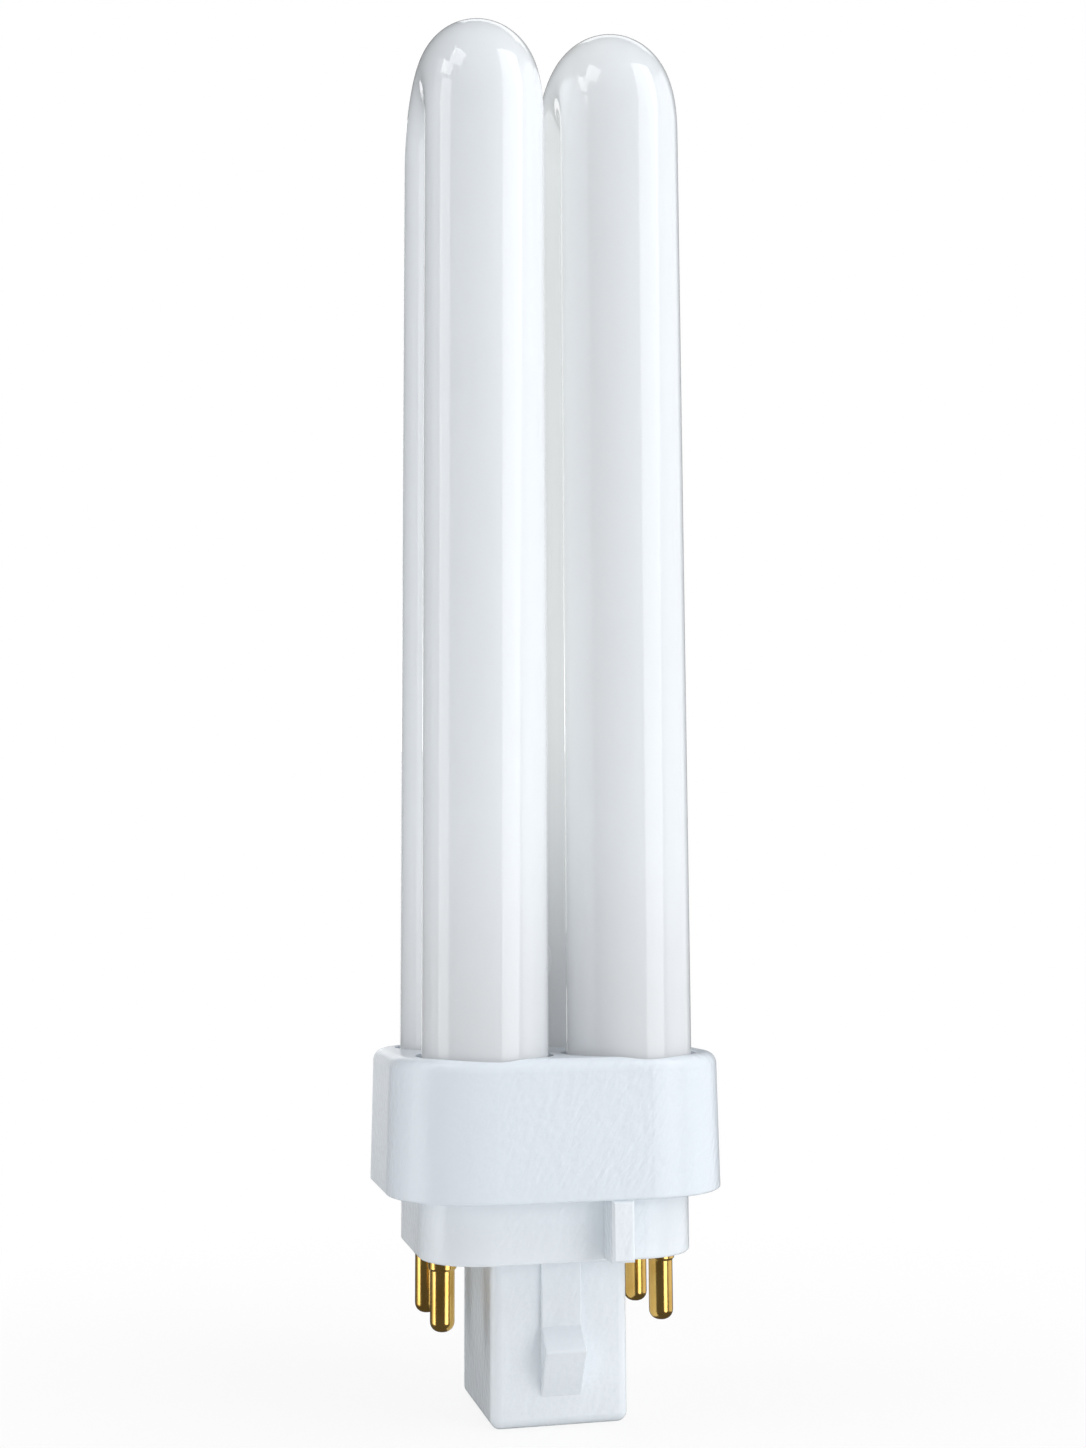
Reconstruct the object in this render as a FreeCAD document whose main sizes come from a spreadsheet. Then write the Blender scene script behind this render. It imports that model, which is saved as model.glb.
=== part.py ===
# A compact fluorescent lamp with two U-bent tubes and a plug-in cap with four contact pins.
#
# The lamp stands on the end of its cap's square post. The origin is the middle of that end face,
# +Z runs up along the tubes, X runs across the two U tubes and -Y is the front, the side with the
# key rib. Everything is in millimetres.
#
# From the top down: two glass tubes, each bent into a U whose plane runs from front to back, and
# joined to each other at the back by a short bridge. Their four legs go through four round holes
# into a moulded housing, where a bed of cement holds them. The front legs end in flat pinch seals,
# each with two lead wires. The cap closes the housing from below. It has a flange, a stepped
# collar with a key rib, a hollow post with a catch in front and behind, and four brass pins.

import FreeCAD, Part
import math
import os
import Sketcher

# Driving sizes. Each one can be changed by itself.
SIZES = {
    "tube_diameter": 12.5,
    "leg_gap_across": 2.15,
    "leg_gap_deep": 1.3,
    "tube_rise": 109.7,
    "leg_depth": 6.0,
    "leg_end_round": 4.5,
    "exhaust_diameter": 3.0,
    "exhaust_length": 2.0,
    "bridge_diameter": 5.6,
    "bridge_rise": 9.0,
    "pinch_shoulder": 2.2,
    "pinch_length": 2.8,
    "pinch_thickness": 2.4,
    "lead_spacing": 3.6,
    "lead_diameter": 0.5,
    "lead_bend": 0.8,
    "lead_stub": 1.0,
    "hole_gap": 0.5,
    "hole_round": 0.12,
    "side_land": 2.725,
    "front_land": 0.85,
    "housing_height": 13.3,
    "housing_corner": 9.2,
    "housing_draft": 1.0,
    "housing_round": 1.2,
    "housing_rim_round": 0.25,
    "housing_wall": 1.0,
    "roof_thickness": 2.0,
    "rib_width": 1.4,
    "rib_reach": 1.4,
    "rib_spacing": 7.0,
    "cement_thickness": 2.4,
    "cement_recess": 0.9,
    "cement_side": 0.5,
    "flange_thickness": 2.2,
    "flange_gap": 0.08,
    "collar_height": 6.1,
    "collar_step": 3.8,
    "collar_corner": 6.0,
    "collar_wall": 1.1,
    "collar_floor": 2.0,
    "collar_round": 0.3,
    "key_offset": 3.4,
    "key_width": 2.2,
    "key_foot": 0.35,
    "key_bevel": 0.25,
    "post_width": 13.6,
    "post_depth": 15.0,
    "post_length": 16.0,
    "post_corner": 1.0,
    "post_end_round": 0.95,
    "post_wall": 1.5,
    "strip_width": 4.0,
    "strip_raise": 0.5,
    "catch_reach": 2.1,
    "catch_foot": 2.9,
    "catch_slope": 4.7,
    "catch_ramp": 1.9,
    "catch_round": 0.3,
    "catch_side_round": 0.15,
    "pin_spacing_across": 22.2,
    "pin_spacing_deep": 9.1,
    "pin_diameter": 2.4,
    "pin_length": 7.1,
    "pin_gap": 0.02,
    "pin_bore_diameter": 1.5,
    "pin_bore_depth": 4.4,
    "pin_tip_round": 0.95,
    "pin_ring_diameter": 2.76,
    "pin_ring_height": 0.5,
    "pin_ring_seat": 0.1,
    "pin_head_diameter": 2.8,
    "pin_head_height": 0.4,
}

# Places and sizes that follow from the driving ones.
PLACES = {
    "tube_radius": "sizes.tube_diameter / 2",
    "leg_x": "(sizes.tube_diameter + sizes.leg_gap_across) / 2",
    "leg_y": "(sizes.tube_diameter + sizes.leg_gap_deep) / 2",
    "hole_radius": "tube_radius + sizes.hole_gap",
    "collar_z": "sizes.post_length",
    "shoulder_z": "collar_z + sizes.collar_height",
    "flange_top_z": "shoulder_z + sizes.flange_thickness",
    "top_z": "shoulder_z + sizes.housing_height",
    "roof_z": "top_z - sizes.roof_thickness",
    "cement_z": "roof_z - sizes.cement_thickness",
    "cement_top_z": "top_z - sizes.cement_recess",
    "leg_end_z": "top_z - sizes.leg_depth",
    "pinch_top_z": "leg_end_z - sizes.pinch_shoulder",
    "pinch_end_z": "pinch_top_z - sizes.pinch_length",
    "pinch_inner_x": "leg_x - sizes.pinch_thickness / 2",
    "pinch_outer_x": "leg_x + sizes.pinch_thickness / 2",
    "leg_inner_x": "leg_x - tube_radius",
    "leg_outer_x": "leg_x + tube_radius",
    "exhaust_radius": "sizes.exhaust_diameter / 2",
    "bridge_radius": "sizes.bridge_diameter / 2",
    "bridge_z": "top_z + sizes.bridge_rise",
    "bend_z": "top_z + sizes.tube_rise - tube_radius - leg_y",
    "floor_z": "collar_z + sizes.collar_floor",
    "housing_x": "leg_x + hole_radius + sizes.side_land",
    "housing_y": "leg_y + hole_radius + sizes.front_land",
    "cavity_x": "housing_x - sizes.housing_wall",
    "cavity_y": "housing_y - sizes.housing_wall",
    "cavity_corner": "sizes.housing_corner - sizes.housing_wall",
    "rib_x": "cavity_x - sizes.rib_reach",
    "rib_root_x": "cavity_x + sizes.housing_wall / 2",
    "rib_near_y": "(sizes.rib_spacing - sizes.rib_width) / 2",
    "rib_far_y": "(sizes.rib_spacing + sizes.rib_width) / 2",
    "cement_x": "leg_outer_x + sizes.cement_side",
    "cement_corner": "tube_radius + sizes.cement_side / 2",
    "flange_x": "cavity_x - sizes.flange_gap",
    "flange_y": "cavity_y - sizes.flange_gap",
    "flange_corner": "cavity_corner - sizes.flange_gap",
    "pin_x": "sizes.pin_spacing_across / 2",
    "pin_y": "sizes.pin_spacing_deep / 2",
    "collar_x": "pin_x + pin_head_radius + sizes.collar_wall",
    "collar_y": "sizes.post_depth / 2 + sizes.collar_step",
    "well_x": "collar_x - sizes.collar_wall",
    "well_y": "collar_y - sizes.collar_wall",
    "well_corner": "sizes.collar_corner - sizes.collar_wall",
    "key_far_x": "sizes.key_offset + sizes.key_width",
    "key_root_y": "collar_y - sizes.collar_wall / 2",
    "key_z": "collar_z + sizes.key_foot",
    "post_x": "sizes.post_width / 2",
    "post_y": "sizes.post_depth / 2",
    "bore_x": "post_x - sizes.post_wall",
    "bore_y": "post_y - sizes.post_wall",
    "bore_corner": "sizes.post_corner / 2",
    "strip_y": "post_y + sizes.strip_raise",
    "catch_y": "strip_y + sizes.catch_reach",
    "catch_root_y": "post_y - sizes.post_wall / 2",
    "catch_ridge_z": "sizes.catch_foot + sizes.catch_slope",
    "catch_top_z": "catch_ridge_z + sizes.catch_ramp",
    "pin_radius": "sizes.pin_diameter / 2",
    "pin_hole_radius": "pin_radius + sizes.pin_gap",
    "pin_bore_radius": "sizes.pin_bore_diameter / 2",
    "pin_ring_radius": "sizes.pin_ring_diameter / 2",
    "pin_ring_drop": "sizes.pin_ring_height - sizes.pin_ring_seat",
    "pin_seat_radius": "pin_ring_radius + sizes.pin_gap",
    "pin_seat_z": "collar_z + sizes.pin_ring_seat",
    "pin_head_radius": "sizes.pin_head_diameter / 2",
    "pin_head_rise": "sizes.collar_floor + sizes.pin_head_height",
    "pin_bore_drop": "sizes.pin_bore_depth - pin_head_rise",
}

FIT = 1e-4
SIDES = {"left": "-", "right": ""}
ENDS = {"front": "-", "rear": ""}

doc = FreeCAD.newDocument("lamp")


def make_sheet(name, cells, lead=""):
    """A spreadsheet with one named cell for each entry."""
    sheet = doc.addObject("Spreadsheet::Sheet", name)
    for row, (alias, content) in enumerate(cells.items(), start=1):
        sheet.set(f"A{row}", alias)
        sheet.set(f"B{row}", f"{lead}{content}")
        sheet.setAlias(f"B{row}", alias)
    doc.recompute()
    return sheet


sizes = make_sheet("sizes", SIZES)
places = make_sheet("places", PLACES, lead="=")


def value(name):
    """The number behind a named size or place; a leading minus sign mirrors it."""
    word = name.lstrip("-")
    number = float(getattr(sizes if word in SIZES else places, word))
    return -number if name.startswith("-") else number


def formula(name):
    """The expression that binds a property to a named size or place."""
    word = name.lstrip("-")
    bound = f"sizes.{word}" if word in SIZES else f"places.{word}"
    return f"-{bound}" if name.startswith("-") else bound


def height(top, bottom):
    """The expression of the height between two named places."""
    return f"{formula(top)} - {formula(bottom)}"


def make_body(name):
    """A sub-part: one body, whose label names its file."""
    body = doc.addObject("PartDesign::Body", name)
    body.Label = name
    return body


def plane(body, role):
    """One of the body's own origin planes."""
    return next(item for item in body.Origin.OriginFeatures if item.Role == role)


def make_sketch(body, name, role="XY_Plane", offset=None):
    """A sketch on an origin plane of its body, moved along the plane's normal."""
    sketch = body.newObject("Sketcher::SketchObject", name)
    sketch.AttachmentSupport = [(plane(body, role), "")]
    sketch.MapMode = "FlatFace"
    if offset:
        sketch.setExpression("AttachmentOffset.Base.z", formula(offset))
    return sketch


def bind(sketch, constraint, label, name):
    """A constraint with a label of its own, bound to a size or place."""
    index = sketch.addConstraint(constraint)
    sketch.renameConstraint(index, label)
    sketch.setExpression(f"Constraints.{label}", formula(name))


def locate(sketch, geometry, end, label, across, along):
    """Fix one point of a sketch at named coordinates. None keeps it on the axis."""
    for kind, name in (("DistanceX", across), ("DistanceY", along)):
        if name is None:
            sketch.addConstraint(Sketcher.Constraint(kind, -1, 1, geometry, end, 0.0))
        else:
            constraint = Sketcher.Constraint(kind, -1, 1, geometry, end, value(name))
            bind(sketch, constraint, f"{label}_{kind[-1]}", name)


def point(across, along):
    """A sketch's point at named coordinates, where None means zero."""
    numbers = [0.0 if name is None else value(name) for name in (across, along)]
    return FreeCAD.Vector(*numbers, 0)


def draw_outline(sketch, corners):
    """A closed outline of straight runs through named points."""
    first = sketch.GeometryCount
    count = len(corners)
    places_drawn = [point(*corner) for corner in corners]
    for index in range(count):
        run = Part.LineSegment(places_drawn[index], places_drawn[(index + 1) % count])
        sketch.addGeometry(run)
    for index, corner in enumerate(corners):
        following = first + (index + 1) % count
        sketch.addConstraint(Sketcher.Constraint("Coincident", first + index, 2, following, 1))
        locate(sketch, first + index, 1, f"point{first + index}", *corner)


def draw_rectangle(sketch, near_x, far_x, near_y, far_y):
    """A rectangle between named coordinates."""
    draw_outline(sketch, [(near_x, near_y), (far_x, near_y), (far_x, far_y), (near_x, far_y)])


def draw_circles(sketch, radius, centres):
    """Equal circles at named centres."""
    for centre in centres:
        index = sketch.GeometryCount
        sketch.addGeometry(Part.Circle(point(*centre), FreeCAD.Vector(0, 0, 1), value(radius)))
        bind(sketch, Sketcher.Constraint("Radius", index, value(radius)), f"radius{index}", radius)
        locate(sketch, index, 3, f"centre{index}", *centre)


def draw_rounded(sketch, half_x, half_y, corner):
    """A rectangle about the origin with four equal round corners."""
    x, y, r = value(half_x), value(half_y), value(corner)
    runs = [(r - x, -y, x - r, -y), (x, r - y, x, y - r), (x - r, y, r - x, y), (-x, y - r, -x, r - y)]
    for x1, y1, x2, y2 in runs:
        sketch.addGeometry(Part.LineSegment(FreeCAD.Vector(x1, y1, 0), FreeCAD.Vector(x2, y2, 0)))
    centres = [(x - r, r - y), (x - r, y - r), (r - x, y - r), (r - x, r - y)]
    for index, (across, along) in enumerate(centres):
        circle = Part.Circle(FreeCAD.Vector(across, along, 0), FreeCAD.Vector(0, 0, 1), r)
        start = math.radians(90 * index - 90)
        sketch.addGeometry(Part.ArcOfCircle(circle, start, start + math.pi / 2))
    for index, direction in enumerate(("Horizontal", "Vertical", "Horizontal", "Vertical")):
        arc = index + 4
        sketch.addConstraint(Sketcher.Constraint(direction, index))
        sketch.addConstraint(Sketcher.Constraint("Tangent", index, 2, arc, 1))
        sketch.addConstraint(Sketcher.Constraint("Tangent", arc, 2, (index + 1) % 4, 1))
    for arc in (5, 6, 7):
        sketch.addConstraint(Sketcher.Constraint("Equal", 4, arc))
    sketch.addConstraint(Sketcher.Constraint("Symmetric", 0, 1, 2, 1, -1, 1))
    bind(sketch, Sketcher.Constraint("Radius", 4, r), "corner", corner)
    bind(sketch, Sketcher.Constraint("DistanceX", -1, 1, 1, 1, x), "half_x", half_x)
    bind(sketch, Sketcher.Constraint("DistanceY", -1, 1, 2, 1, y), "half_y", half_y)


def add_pad(body, name, sketch, length):
    """Material raised from a sketch along its normal."""
    pad = body.newObject("PartDesign::Pad", name)
    pad.Profile = sketch
    pad.setExpression("Length", length)
    return pad


def add_pocket(body, name, sketch, length):
    """Material cut away behind a sketch, against its normal."""
    pocket = body.newObject("PartDesign::Pocket", name)
    pocket.Profile = sketch
    pocket.setExpression("Length", length)
    return pocket


def add_edge_finish(body, name, feature, size, wanted, kind="Fillet"):
    """A fillet or chamfer on the edges of a feature that a test picks out."""
    doc.recompute()
    edges = enumerate(feature.Shape.Edges, start=1)
    names = [f"Edge{number}" for number, edge in edges if wanted(edge)]
    if not names:
        raise ValueError(f"{name}: no edge found")
    finish = body.newObject(f"PartDesign::{kind}", name)
    finish.Base = (feature, names)
    finish.setExpression("Radius" if kind == "Fillet" else "Size", formula(size))
    return finish


def level(edge, z):
    """Whether an edge lies flat at a height."""
    return abs(edge.BoundBox.ZMin - z) < FIT and abs(edge.BoundBox.ZMax - z) < FIT


def four(across, along):
    """The four named centres about the origin, front ones first."""
    return [(f"{side}{across}", f"{end}{along}") for end in ENDS.values() for side in SIDES.values()]


def make_discharge_tube():
    """Two U tubes joined by a bridge: one sealed piece of coated glass."""
    body = make_body("discharge_tube")
    legs = four("leg_x", "leg_y")

    for end, centres, bottom in (("front", legs[:2], "pinch_end_z"), ("rear", legs[2:], "leg_end_z")):
        sketch = make_sketch(body, f"{end}_leg_circles", offset=bottom)
        draw_circles(sketch, "tube_radius", centres)
        add_pad(body, f"{end}_legs", sketch, height("bend_z", bottom))

    # each bend is half a ring: the front leg's circle swung over the top to the rear leg
    swung = make_sketch(body, "bend_circles", offset="bend_z")
    draw_circles(swung, "tube_radius", legs[:2])
    bends = body.newObject("PartDesign::Revolution", "bends")
    bends.Profile = swung
    bends.ReferenceAxis = (swung, ["H_Axis"])
    bends.Angle = 180
    bends.Reversed = True

    # the bridge joins the rear legs a little above the housing
    bridge_circle = make_sketch(body, "bridge_circle", role="YZ_Plane")
    draw_circles(bridge_circle, "bridge_radius", [("leg_y", "bridge_z")])
    bridge = add_pad(body, "bridge", bridge_circle, f"2 * {formula('leg_x')}")
    bridge.SideType = "Symmetric"

    # the front legs are pressed flat at the end, with a sloped shoulder each side
    cuts = make_sketch(body, "pinch_cuts", role="XZ_Plane")
    for sign in SIDES.values():
        for wall, face in (("leg_inner_x", "pinch_inner_x"), ("leg_outer_x", "pinch_outer_x")):
            draw_outline(cuts, [
                (sign + wall, "leg_end_z"),
                (sign + face, "pinch_top_z"),
                (sign + face, "pinch_end_z"),
                (sign + wall, "pinch_end_z"),
            ])
    pinch = add_pocket(body, "pinch_seals", cuts, f"{formula('leg_y')} + {formula('tube_radius')}")
    pinch.Reversed = True

    # the rear legs are closed round, and one keeps the tip that the air was drawn out through
    end_z = value("leg_end_z")

    def rear_end(edge):
        return level(edge, end_z) and edge.CenterOfMass.y > 0

    add_edge_finish(body, "closed_ends", pinch, "leg_end_round", rear_end)
    tip_circle = make_sketch(body, "exhaust_circle", offset="leg_end_z")
    draw_circles(tip_circle, "exhaust_radius", [("-leg_x", "leg_y")])
    tip = add_pad(body, "exhaust_tip", tip_circle, "2 * sizes.exhaust_length")
    tip.SideType = "Symmetric"


def make_upper_housing():
    """The moulded shell that the four legs stand in."""
    body = make_body("upper_housing")
    outer = make_sketch(body, "outer_outline", offset="shoulder_z")
    draw_rounded(outer, "housing_x", "housing_y", "housing_corner")
    block = add_pad(body, "block", outer, "sizes.housing_height")
    block.setExpression("TaperAngle", "-sizes.housing_draft")

    top_z = value("top_z")
    shoulder_z = value("shoulder_z")
    top_round = add_edge_finish(body, "top_round", block, "housing_round", lambda edge: level(edge, top_z))
    add_edge_finish(body, "rim_round", top_round, "housing_rim_round", lambda edge: level(edge, shoulder_z))

    inner = make_sketch(body, "cavity_outline", offset="roof_z")
    draw_rounded(inner, "cavity_x", "cavity_y", "cavity_corner")
    add_pocket(body, "cavity", inner, height("roof_z", "shoulder_z"))

    hole_circles = make_sketch(body, "hole_circles", offset="top_z")
    draw_circles(hole_circles, "hole_radius", four("leg_x", "leg_y"))
    add_pocket(body, "leg_holes", hole_circles, "2 * sizes.roof_thickness")

    # four ribs down the side walls stop the cap's flange at the right depth
    rib_outlines = make_sketch(body, "rib_outlines", offset="flange_top_z")
    for side in SIDES.values():
        for end in ENDS.values():
            across = (f"{side}rib_x", f"{side}rib_root_x")
            draw_rectangle(rib_outlines, *across, f"{end}rib_near_y", f"{end}rib_far_y")
    ribs = add_pad(body, "stop_ribs", rib_outlines, height("roof_z", "flange_top_z"))

    # the holes' upper rims are softened, as a mould leaves them
    lowest_rim = top_z - value("housing_round")

    def hole_rim(edge):
        offsets = [(abs(end.X) - value("leg_x"), abs(end.Y) - value("leg_y")) for end in edge.Vertexes]
        on_hole = [abs(math.hypot(*offset) - value("hole_radius")) < FIT for offset in offsets]
        return edge.BoundBox.ZMin > lowest_rim and all(on_hole)

    add_edge_finish(body, "hole_rims", ribs, "hole_round", hole_rim)


def make_tube_cement():
    """The bed of cement that holds the legs, poured in behind the roof and up into its holes."""
    body = make_body("tube_cement")
    legs = four("leg_x", "leg_y")
    bed_outline = make_sketch(body, "bed_outline", offset="cement_z")
    draw_rounded(bed_outline, "cement_x", "cavity_y", "cement_corner")
    add_pad(body, "bed", bed_outline, "sizes.cement_thickness")
    collars = make_sketch(body, "collar_circles", offset="roof_z")
    draw_circles(collars, "hole_radius", legs)
    add_pad(body, "collars", collars, height("cement_top_z", "roof_z"))
    bores = make_sketch(body, "leg_circles", offset="cement_top_z")
    draw_circles(bores, "tube_radius", legs)
    add_pocket(body, "leg_bores", bores, height("cement_top_z", "cement_z"))


def make_pin_base():
    """The cap: flange, collar with its key rib, and the hollow post with its two catches."""
    body = make_body("pin_base")
    flange_outline = make_sketch(body, "flange_outline", offset="shoulder_z")
    draw_rounded(flange_outline, "flange_x", "flange_y", "flange_corner")
    add_pad(body, "flange", flange_outline, "sizes.flange_thickness")
    collar_outline = make_sketch(body, "collar_outline", offset="collar_z")
    draw_rounded(collar_outline, "collar_x", "collar_y", "collar_corner")
    add_pad(body, "collar", collar_outline, "sizes.collar_height")

    post_outline = make_sketch(body, "post_outline")
    draw_rounded(post_outline, "post_x", "post_y", "post_corner")
    post = add_pad(body, "post", post_outline, "sizes.post_length")
    post_end = add_edge_finish(body, "post_end", post, "post_end_round", lambda edge: level(edge, 0.0))

    # the collar's lower rim is the flat outline there that the post's outline lies inside
    collar_z = value("collar_z")

    def collar_rim(edge):
        middle = edge.CenterOfMass
        outside_post = abs(middle.x) > value("post_x") + FIT or abs(middle.y) > value("post_y") + FIT
        return level(edge, collar_z) and outside_post

    add_edge_finish(body, "collar_rim", post_end, "collar_round", collar_rim)

    # the key rib stands out level with the housing's front face
    key_outline = make_sketch(body, "key_outline", offset="key_z")
    draw_rectangle(key_outline, "key_offset", "key_far_x", "-housing_y", "-key_root_y")
    key = add_pad(body, "key_rib", key_outline, height("shoulder_z", "key_z"))
    key_face = -value("housing_y")

    def key_edge(edge):
        box = edge.BoundBox
        return abs(box.YMin - key_face) < FIT and abs(box.YMax - key_face) < FIT

    add_edge_finish(body, "key_bevel", key, "key_bevel", key_edge, kind="Chamfer")

    # a strip down the post's face swells into a sloped catch that the holder's spring rides over
    profile = make_sketch(body, "catch_profile", role="YZ_Plane")
    draw_outline(profile, [
        ("-catch_root_y", "catch_foot"),
        ("-post_y", "catch_foot"),
        ("-catch_y", "catch_ridge_z"),
        ("-strip_y", "catch_top_z"),
        ("-strip_y", "collar_z"),
        ("-catch_root_y", "collar_z"),
    ])
    catch = add_pad(body, "front_catch", profile, "sizes.strip_width")
    catch.SideType = "Symmetric"
    rear_catch = body.newObject("PartDesign::Mirrored", "rear_catch")
    rear_catch.Originals = [catch]
    rear_catch.MirrorPlane = (plane(body, "XZ_Plane"), [""])
    body.Tip = rear_catch
    ridge = (value("catch_y"), value("catch_ridge_z"))

    def catch_ridge(edge):
        middle = edge.CenterOfMass
        return abs(abs(middle.y) - ridge[0]) < FIT and abs(middle.z - ridge[1]) < FIT

    ridges = add_edge_finish(body, "catch_ridges", rear_catch, "catch_round", catch_ridge)

    # the outer edges down both sides of each strip and catch
    side_x = value("strip_width") / 2

    def catch_side(edge):
        box = edge.BoundBox
        on_side = abs(abs(box.XMin) - side_x) < FIT and abs(box.XMax - box.XMin) < FIT
        return on_side and abs(edge.CenterOfMass.y) > value("post_y") + FIT

    add_edge_finish(body, "catch_sides", ridges, "catch_side_round", catch_side)

    well_outline = make_sketch(body, "well_outline", offset="flange_top_z")
    draw_rounded(well_outline, "well_x", "well_y", "well_corner")
    add_pocket(body, "well", well_outline, height("flange_top_z", "floor_z"))
    bore_outline = make_sketch(body, "bore_outline", offset="floor_z")
    draw_rounded(bore_outline, "bore_x", "bore_y", "bore_corner")
    add_pocket(body, "post_bore", bore_outline, height("floor_z", "post_wall"))
    pin_circles = make_sketch(body, "pin_circles", offset="floor_z")
    draw_circles(pin_circles, "pin_hole_radius", four("pin_x", "pin_y"))
    add_pocket(body, "pin_holes", pin_circles, height("floor_z", "collar_z"))
    seat_circles = make_sketch(body, "pin_seat_circles", offset="pin_seat_z")
    draw_circles(seat_circles, "pin_seat_radius", four("pin_x", "pin_y"))
    add_pocket(body, "pin_seats", seat_circles, height("pin_seat_z", "collar_z"))


def make_contact_pin(name, across, along):
    """A turned brass pin, drilled for its lead and held between its ring and the head riveted over."""
    body = make_body(name)
    profile = make_sketch(body, f"{name}_profile", role="XZ_Plane")
    draw_outline(profile, [
        (None, "-pin_length"),
        ("pin_radius", "-pin_length"),
        ("pin_radius", "-pin_ring_drop"),
        ("pin_ring_radius", "-pin_ring_drop"),
        ("pin_ring_radius", "pin_ring_seat"),
        ("pin_radius", "pin_ring_seat"),
        ("pin_radius", "collar_floor"),
        ("pin_head_radius", "collar_floor"),
        ("pin_head_radius", "pin_head_rise"),
        ("pin_bore_radius", "pin_head_rise"),
        ("pin_bore_radius", "-pin_bore_drop"),
        (None, "-pin_bore_drop"),
    ])
    turned = body.newObject("PartDesign::Revolution", f"{name}_turned")
    turned.Profile = profile
    turned.ReferenceAxis = (profile, ["V_Axis"])
    turned.Angle = 360
    tip_z = value("-pin_length")
    add_edge_finish(body, f"{name}_tip", turned, "pin_tip_round", lambda edge: level(edge, tip_z))
    body.setExpression("Placement.Base.x", formula(across))
    body.setExpression("Placement.Base.y", formula(along))
    body.setExpression("Placement.Base.z", formula("collar_z"))


def bent_path(corners, radius):
    """Straight runs through the corners, joined by tangent arcs of one radius."""
    edges = []
    start = corners[0]
    for before, corner, after in zip(corners, corners[1:], corners[2:]):
        back = (before - corner).normalize()
        onward = (after - corner).normalize()
        half_turn = (math.pi - back.getAngle(onward)) / 2
        cut = radius * math.tan(half_turn)
        middle_way = (back + onward).normalize()
        arc_start = corner + back * cut
        arc_end = corner + onward * cut
        arc_middle = corner + middle_way * (radius / math.cos(half_turn) - radius)
        edges.append(Part.LineSegment(start, arc_start).toShape())
        edges.append(Part.Arc(arc_start, arc_middle, arc_end).toShape())
        start = arc_end
    edges.append(Part.LineSegment(start, corners[-1]).toShape())
    return Part.Wire(edges)


def make_lead_wire(name, side, end):
    """A lead from its pinch seal down into the bore of its pin."""
    pin_x = value(f"{side}pin_x")
    pin_y = value(f"{end}pin_y")
    seal_x = value(f"{side}leg_x")
    seal_y = value("-leg_y") + (1 if end == "" else -1) * value("lead_spacing") / 2
    seal_z = value("pinch_end_z")
    head_z = value("collar_z") + value("pin_head_rise")
    bore_end_z = value("collar_z") - value("pin_bore_drop")
    stub = value("lead_stub")
    corners = [
        FreeCAD.Vector(seal_x, seal_y, seal_z),
        FreeCAD.Vector(seal_x, seal_y, seal_z - stub),
        FreeCAD.Vector(pin_x, pin_y, head_z + stub),
        FreeCAD.Vector(pin_x, pin_y, bore_end_z),
    ]
    section = Part.Circle(corners[0], FreeCAD.Vector(0, 0, 1), value("lead_diameter") / 2).toShape()
    path = bent_path(corners, value("lead_bend"))
    wire = doc.addObject("Part::Feature", name)
    wire.Label = name
    wire.Shape = path.makePipeShell([Part.Wire(section)], True, True)


def finish_document():
    """Check every object, then write each sub-part to its file."""
    doc.recompute()
    for item in doc.Objects:
        if "Invalid" in item.State or "Error" in item.State:
            raise RuntimeError(f"{item.Name} failed: {item.State}")
    os.makedirs("parts", exist_ok=True)
    for item in doc.Objects:
        if item.TypeId not in ("PartDesign::Body", "Part::Feature"):
            continue
        shape = item.Shape
        if shape.isNull() or not shape.isValid():
            raise RuntimeError(f"{item.Label}: the shape is null or not valid")
        print(f"{item.Label}: {len(shape.Solids)} solid, {shape.Volume:.1f} mm3")
        shape.exportStep(f"parts/{item.Label}.step")


make_discharge_tube()
make_upper_housing()
make_tube_cement()
make_pin_base()
for end_name, end in ENDS.items():
    for side_name, side in SIDES.items():
        make_contact_pin(f"contact_pin_{end_name}_{side_name}", f"{side}pin_x", f"{end}pin_y")
        make_lead_wire(f"lead_wire_{end_name}_{side_name}", side, end)
finish_document()
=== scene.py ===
# %% [markdown]
# # A compact fluorescent lamp with two U tubes, dressed and lit in Blender
#
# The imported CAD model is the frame: every piece already stands in its place, in metres, with the
# origin under the square post, Z up and the key rib's side towards -Y. This lesson gives each
# piece its finish, makes finer glass and pins than the CAD has, and sets up a small studio.

# %% Load the frame
import math

import bpy
import numpy as np
from mathutils import Matrix


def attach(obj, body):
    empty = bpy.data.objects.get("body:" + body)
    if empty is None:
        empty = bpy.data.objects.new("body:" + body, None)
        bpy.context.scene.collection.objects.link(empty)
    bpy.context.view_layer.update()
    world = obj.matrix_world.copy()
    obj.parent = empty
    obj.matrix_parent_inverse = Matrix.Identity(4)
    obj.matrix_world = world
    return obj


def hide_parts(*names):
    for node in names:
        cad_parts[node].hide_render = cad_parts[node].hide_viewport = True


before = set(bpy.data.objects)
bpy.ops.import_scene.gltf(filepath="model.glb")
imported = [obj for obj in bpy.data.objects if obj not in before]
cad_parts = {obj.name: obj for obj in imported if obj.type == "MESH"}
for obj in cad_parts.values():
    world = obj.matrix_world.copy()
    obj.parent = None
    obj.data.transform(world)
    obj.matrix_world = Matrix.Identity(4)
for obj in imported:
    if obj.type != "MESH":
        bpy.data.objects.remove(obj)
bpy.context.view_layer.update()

MM = 0.001

# %% [markdown]
# ## The camera
#
# The photo was taken from close by and a little to the left, with the camera at the height of the
# housing's upper half and tipped up to take in the tubes. Its place, heading and lens could be set
# by eye, but a small error in the view would look like an error in the shape. So they were worked
# out from the corners of the housing, the post and the tubes. The camera comes first, because
# every later choice is judged through it. Three turns place it: level and tipped up, then to its
# heading, and last a small roll about the way it looks.

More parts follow.
